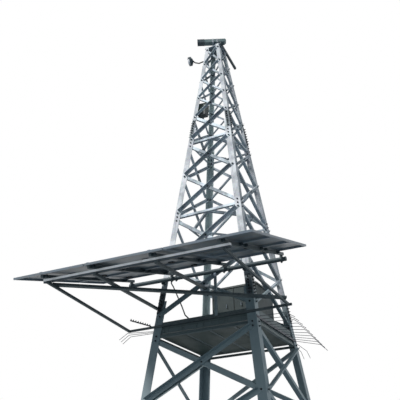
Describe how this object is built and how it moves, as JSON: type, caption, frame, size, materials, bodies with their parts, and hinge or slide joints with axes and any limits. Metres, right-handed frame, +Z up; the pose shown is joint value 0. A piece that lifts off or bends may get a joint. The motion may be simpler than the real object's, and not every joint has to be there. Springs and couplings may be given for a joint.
{
  "type": "lattice telecom tower",
  "caption": "Self-supporting square lattice tower of bolted steel angles with a solar array, an equipment platform with a cabinet, an anti-climb guard and a head beam.",
  "frame": {"origin": "on the ground in the middle of the four feet", "axes": "+Z up the tower's axis, -Y out of the face that carries the solar array, +X to the right when facing that face"},
  "size_m": [5.0109, 6.3843, 14.221],
  "materials": {
    "galvanised_plate": "galvanised plate with rows of bolts",
    "galvanised_leg": "weathered hot-dip galvanised angle, dull light grey with darker run marks",
    "galvanised_brace": "weathered hot-dip galvanised angle, dull grey",
    "platform_steel": "dull grey-green steel deck and beams",
    "cabinet_paint": "grey-brown powder coat, dusty",
    "solar_module": "dark cells under glass, anodised frame, grey backsheet below",
    "array_steel": "dull dark galvanised steel section",
    "array_aluminium": "mill-finish aluminium section",
    "guard_steel": "dull galvanised angle and wire",
    "head_steel": "dull dark blue-grey coated steel with light scuffs",
    "radio_paint": "olive grey paint"
  },
  "bodies": {
    "root": {"foot_plates": "galvanised_plate", "leg_front_left_lower": "galvanised_leg", "leg_front_right_lower": "galvanised_leg", "leg_rear_right_lower": "galvanised_leg", "leg_rear_left_lower": "galvanised_leg", "leg_front_left_middle": "galvanised_leg", "leg_front_right_middle": "galvanised_leg", "leg_rear_right_middle": "galvanised_leg", "leg_rear_left_middle": "galvanised_leg", "leg_front_left_upper": "galvanised_leg", "leg_front_right_upper": "galvanised_leg", "leg_rear_right_upper": "galvanised_leg", "leg_rear_left_upper": "galvanised_leg", "front_bracing_lower": "galvanised_brace", "right_bracing_lower": "galvanised_brace", "rear_bracing_lower": "galvanised_brace", "left_bracing_lower": "galvanised_brace", "front_bracing_upper": "galvanised_brace", "right_bracing_upper": "galvanised_brace", "rear_bracing_upper": "galvanised_brace", "left_bracing_upper": "galvanised_brace", "deck_ring": "galvanised_brace", "lower_ring": "galvanised_brace", "upper_ring": "galvanised_brace", "joint_plates": "galvanised_plate", "platform_beams": "platform_steel", "platform_deck": "platform_steel", "platform_toe_boards": "platform_steel", "cabinet_body": "cabinet_paint", "cabinet_doors": "cabinet_paint", "cabinet_roof": "cabinet_paint", "module_row_low": "solar_module", "module_row_middle": "solar_module", "module_row_high": "solar_module", "array_rafters": "array_steel", "array_front_rail": "array_aluminium", "array_rear_tube": "array_steel", "array_packers": "array_steel", "array_tube_brackets": "array_steel", "array_lower_beam": "array_steel", "array_struts": "array_steel", "strut_gusset": "galvanised_plate", "array_plan_bar": "array_steel", "array_post": "array_steel", "array_conduit": "array_steel", "guard_right": "guard_steel", "guard_left": "guard_steel", "guard_arm": "guard_steel", "cap_plate": "galvanised_plate", "head_post": "galvanised_plate", "head_beam": "head_steel", "head_block": "head_steel", "head_boom": "head_steel", "lamp_arm": "radio_paint", "lamp_body": "radio_paint", "radio_box": "radio_paint"}
  },
  "joints": []
}
